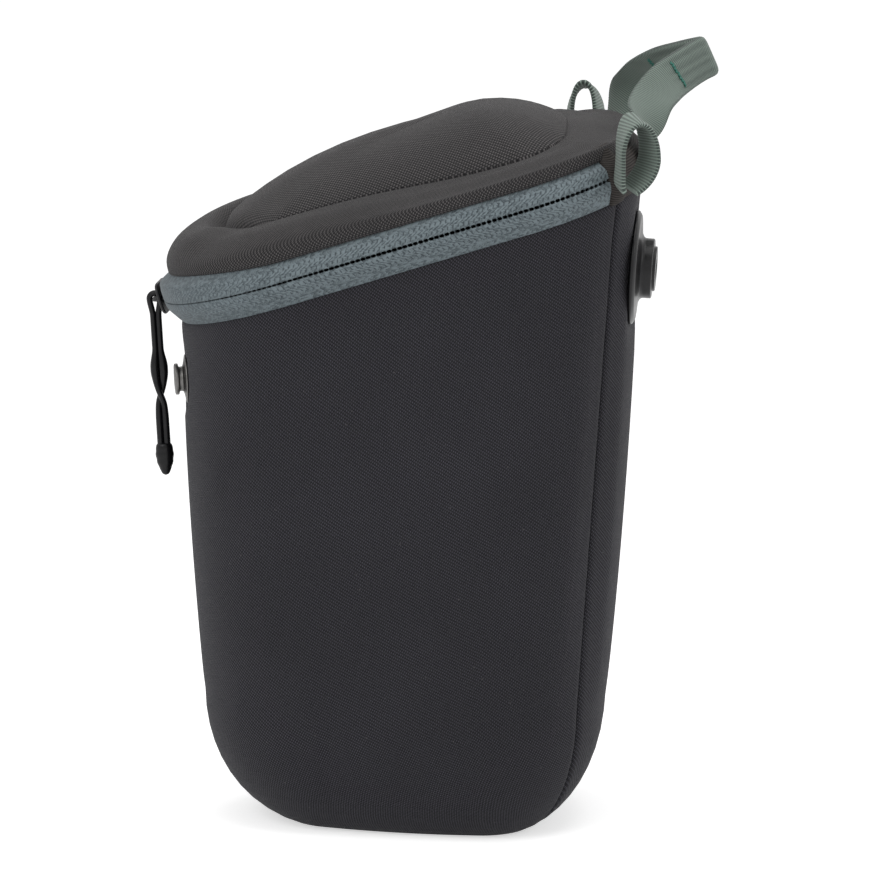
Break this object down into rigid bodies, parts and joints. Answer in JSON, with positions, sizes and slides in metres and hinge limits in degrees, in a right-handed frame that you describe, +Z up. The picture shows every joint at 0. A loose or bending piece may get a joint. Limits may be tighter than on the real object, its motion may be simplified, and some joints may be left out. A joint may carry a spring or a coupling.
{
  "type": "camera bag insert",
  "caption": "Padded D-shaped insert that tapers to a rounded base, with a sloping zip-round lid hinged at the back, a webbing carry handle, corner loops and press fasteners.",
  "frame": {"origin": "on the underside of the base, in the middle of the bag's width", "axes": "+Z up, -Y towards the low front where the zip slider parks, +X to the side that the picture shows"},
  "size_m": [0.1348, 0.1783, 0.2439],
  "materials": {
    "shell_fabric": "charcoal plain-weave nylon, matt",
    "foam": "closed-cell padding, hidden",
    "lining": "soft brushed grey knit",
    "board": "stiffener sheet, hidden",
    "zip_tape": "blue-grey woven zip tape",
    "zip_coil": "moulded coil, satin",
    "webbing": "grey-green ribbed webbing",
    "stud_metal": "black gunmetal, satin",
    "button_plastic": "moulded black, soft gloss",
    "pull_rubber": "black coated loop with a moulded grip, satin"
  },
  "bodies": {
    "bucket": {"side_wrap": "shell_fabric", "back_panel": "shell_fabric", "base_panel": "shell_fabric", "wall_foam": "foam", "back_board": "board", "back_foam": "foam", "base_foam": "foam", "lining": "lining", "rim_binding": "lining", "lower_zip_tape": "zip_tape", "lower_zip_coil": "zip_coil", "hinge_strip_body": "shell_fabric", "front_stud": "stud_metal", "front_stud_washer": "stud_metal", "back_button_left": "button_plastic", "back_button_right": "button_plastic", "back_button_washer_left": "button_plastic", "back_button_washer_right": "button_plastic"},
    "lid": {"lid_border": "shell_fabric", "lid_panel": "shell_fabric", "lid_foam": "foam", "lid_lining": "lining", "upper_zip_tape": "zip_tape", "upper_zip_coil": "zip_coil", "hinge_strip_lid": "shell_fabric"},
    "loops": {"corner_loop_left": "webbing", "corner_loop_right": "webbing"},
    "handle": {"carry_handle": "webbing"},
    "slider": {"slider_body": "stud_metal"},
    "pull": {"pull_cord": "pull_rubber", "pull_grip": "pull_rubber"}
  },
  "joints": [
    {"name": "lid_hinge", "type": "hinge", "parent": "bucket", "child": "lid", "pos_m": [0, 0.07268, 0.21021], "axis": [-1, 0, 0], "range_deg": [0, 110]},
    {"name": "loops_fold", "type": "hinge", "parent": "bucket", "child": "loops", "pos_m": [0, 0.069, 0.2], "axis": [-1, 0, 0], "range_deg": [0, 88]},
    {"name": "handle_swing", "type": "hinge", "parent": "loops", "child": "handle", "pos_m": [0, 0.069, 0.2], "axis": [-1, 0, 0], "range_deg": [0, 30]},
    {"name": "slider_run", "type": "hinge", "parent": "bucket", "child": "slider", "pos_m": [0, -0.0312, 0.17686], "axis": [0, -0.3057, 0.9521], "range_deg": [-52, 80]},
    {"name": "pull_swing", "type": "hinge", "parent": "slider", "child": "pull", "pos_m": [-0.01217, -0.07767, 0.16194], "axis": [-0.9703, 0.2303, 0.074], "range_deg": [0, 150]}
  ],
  "couplings": [
    {"joint": "loops_fold", "follows": "lid_hinge", "ratio": 0.8}
  ]
}
